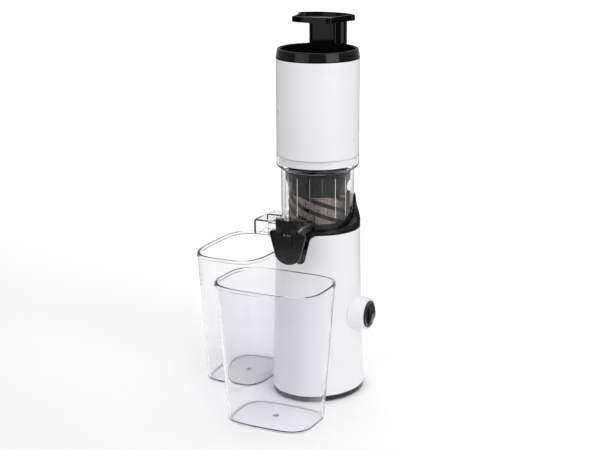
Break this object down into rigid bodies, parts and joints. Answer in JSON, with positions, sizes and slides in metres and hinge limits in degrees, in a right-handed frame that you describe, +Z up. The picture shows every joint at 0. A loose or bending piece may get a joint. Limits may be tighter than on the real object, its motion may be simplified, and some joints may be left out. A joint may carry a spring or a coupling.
{
  "type": "vertical slow juicer",
  "caption": "Slim upright slow juicer: pusher and feed hopper over a clear juicing bowl with auger and strainer, geared motor base, capped juice spout, pulp outlet and two clear catch jugs.",
  "frame": {"origin": "centre of the auger axis on the underside of the foot ring, on the table", "axes": "+Z up along the auger axis, -Y towards the juice spout and its jug, -X towards the pulp outlet and its jug, +X towards the switch"},
  "size_m": [0.2099, 0.2198, 0.4323],
  "materials": {
    "white_shell": "satin-gloss moulded white plastic",
    "black_gloss": "glossy moulded black plastic",
    "black_satin": "satin moulded black plastic",
    "auger_black": "satin glass-filled plastic",
    "clear_bowl": "polished clear copolyester",
    "clear_jug": "polished clear plastic",
    "mesh_steel": "perforated stainless sheet",
    "shaft_steel": "ground steel",
    "motor_steel": "zinc plated sheet steel",
    "screw_steel": "zinc plated",
    "magnet_grey": "sintered ferrite",
    "copper": "turned copper bars",
    "bush_bronze": "sintered bronze",
    "gear_plastic": "natural acetal",
    "gear_case": "glass-filled nylon",
    "board_green": "glass-epoxy board",
    "board_black": "moulded component bodies",
    "silicone_grey": "food-grade silicone",
    "silicone_black": "food-grade silicone",
    "foot_rubber": "matt rubber"
  },
  "bodies": {
    "housing": {"body_housing": "white_shell", "bowl_collar": "black_satin", "base_cover": "black_satin", "foot_ring": "foot_rubber", "base_screws": "screw_steel", "cord_bush": "black_satin", "control_board": "board_green", "board_parts": "board_black", "switch_bezel": "black_satin", "rocker_pin": "screw_steel", "bowl_sensor": "board_black", "motor_can": "motor_steel", "motor_magnets": "magnet_grey", "motor_end_bell": "motor_steel", "motor_bushes": "bush_bronze", "motor_brushes": "magnet_grey", "gearbox_base": "motor_steel", "gearbox_cover": "gear_case", "output_bush": "bush_bronze", "layshaft": "shaft_steel", "shaft_seal": "silicone_grey"},
    "rotor": {"rotor_core": "motor_steel", "commutator": "copper", "motor_shaft": "shaft_steel", "cooling_fan": "gear_case", "motor_pinion": "shaft_steel"},
    "layshaft_gear": {"compound_gear": "gear_plastic"},
    "drive": {"output_gear": "gear_plastic", "drive_shaft": "shaft_steel"},
    "bowl": {"juice_bowl": "clear_bowl", "bowl_gasket": "silicone_grey", "bowl_magnet": "magnet_grey", "pulp_outlet": "clear_bowl", "spout_hinge_pin": "shaft_steel", "strainer_frame": "black_gloss", "strainer_mesh": "mesh_steel"},
    "auger_unit": {"auger": "auger_black", "auger_socket": "shaft_steel", "auger_pin": "shaft_steel"},
    "cap": {"spout_cap": "black_satin", "spout_cap_seal": "silicone_black"},
    "hopper": {"hopper_tube": "white_shell", "auger_bush": "gear_plastic", "feed_funnel": "black_gloss"},
    "pusher": {"pusher_stem": "black_gloss", "pusher_cap": "black_gloss"},
    "rocker": {"rocker": "black_satin"},
    "juice_jug": {"juice_jug": "clear_jug"},
    "pulp_jug": {"pulp_jug": "clear_jug"}
  },
  "joints": [
    {"name": "rotor_spin", "type": "hinge", "parent": "housing", "child": "rotor", "pos_m": [0, 0, 0.07], "axis": [0, 0, 1], "continuous": true},
    {"name": "layshaft_spin", "type": "hinge", "parent": "housing", "child": "layshaft_gear", "pos_m": [0, 0.02287, 0.13], "axis": [0, 0, 1], "continuous": true},
    {"name": "drive_spin", "type": "hinge", "parent": "housing", "child": "drive", "pos_m": [0, 0, 0.15], "axis": [0, 0, 1], "continuous": true},
    {"name": "bowl_lift", "type": "slide", "parent": "housing", "child": "bowl", "axis": [0, 0, 1], "range_m": [0, 0.085]},
    {"name": "auger_spin", "type": "hinge", "parent": "bowl", "child": "auger_unit", "pos_m": [0, 0, 0.22], "axis": [0, 0, 1], "continuous": true},
    {"name": "hopper_lift", "type": "slide", "parent": "bowl", "child": "hopper", "axis": [0, 0, 1], "range_m": [0, 0.08]},
    {"name": "pusher_slide", "type": "slide", "parent": "hopper", "child": "pusher", "axis": [0, 0, 1], "range_m": [-0.028, 0.125]},
    {"name": "spout_cap_hinge", "type": "hinge", "parent": "bowl", "child": "cap", "pos_m": [0, -0.075, 0.2125], "axis": [-1, 0, 0], "range_deg": [0, 95]},
    {"name": "rocker_tilt", "type": "hinge", "parent": "housing", "child": "rocker", "pos_m": [0.059, 0, 0.0968], "axis": [0, 1, 0], "range_deg": [-8, 8]},
    {"name": "juice_jug_slide", "type": "slide", "parent": "housing", "child": "juice_jug", "axis": [0, -1, 0], "range_m": [0, 0.18]},
    {"name": "pulp_jug_slide", "type": "slide", "parent": "housing", "child": "pulp_jug", "axis": [-1, 0, 0], "range_m": [0, 0.16]}
  ],
  "couplings": [
    {"joint": "layshaft_spin", "follows": "rotor_spin", "ratio": -0.22},
    {"joint": "drive_spin", "follows": "rotor_spin", "ratio": 0.0484},
    {"joint": "auger_spin", "follows": "rotor_spin", "ratio": 0.0484}
  ]
}
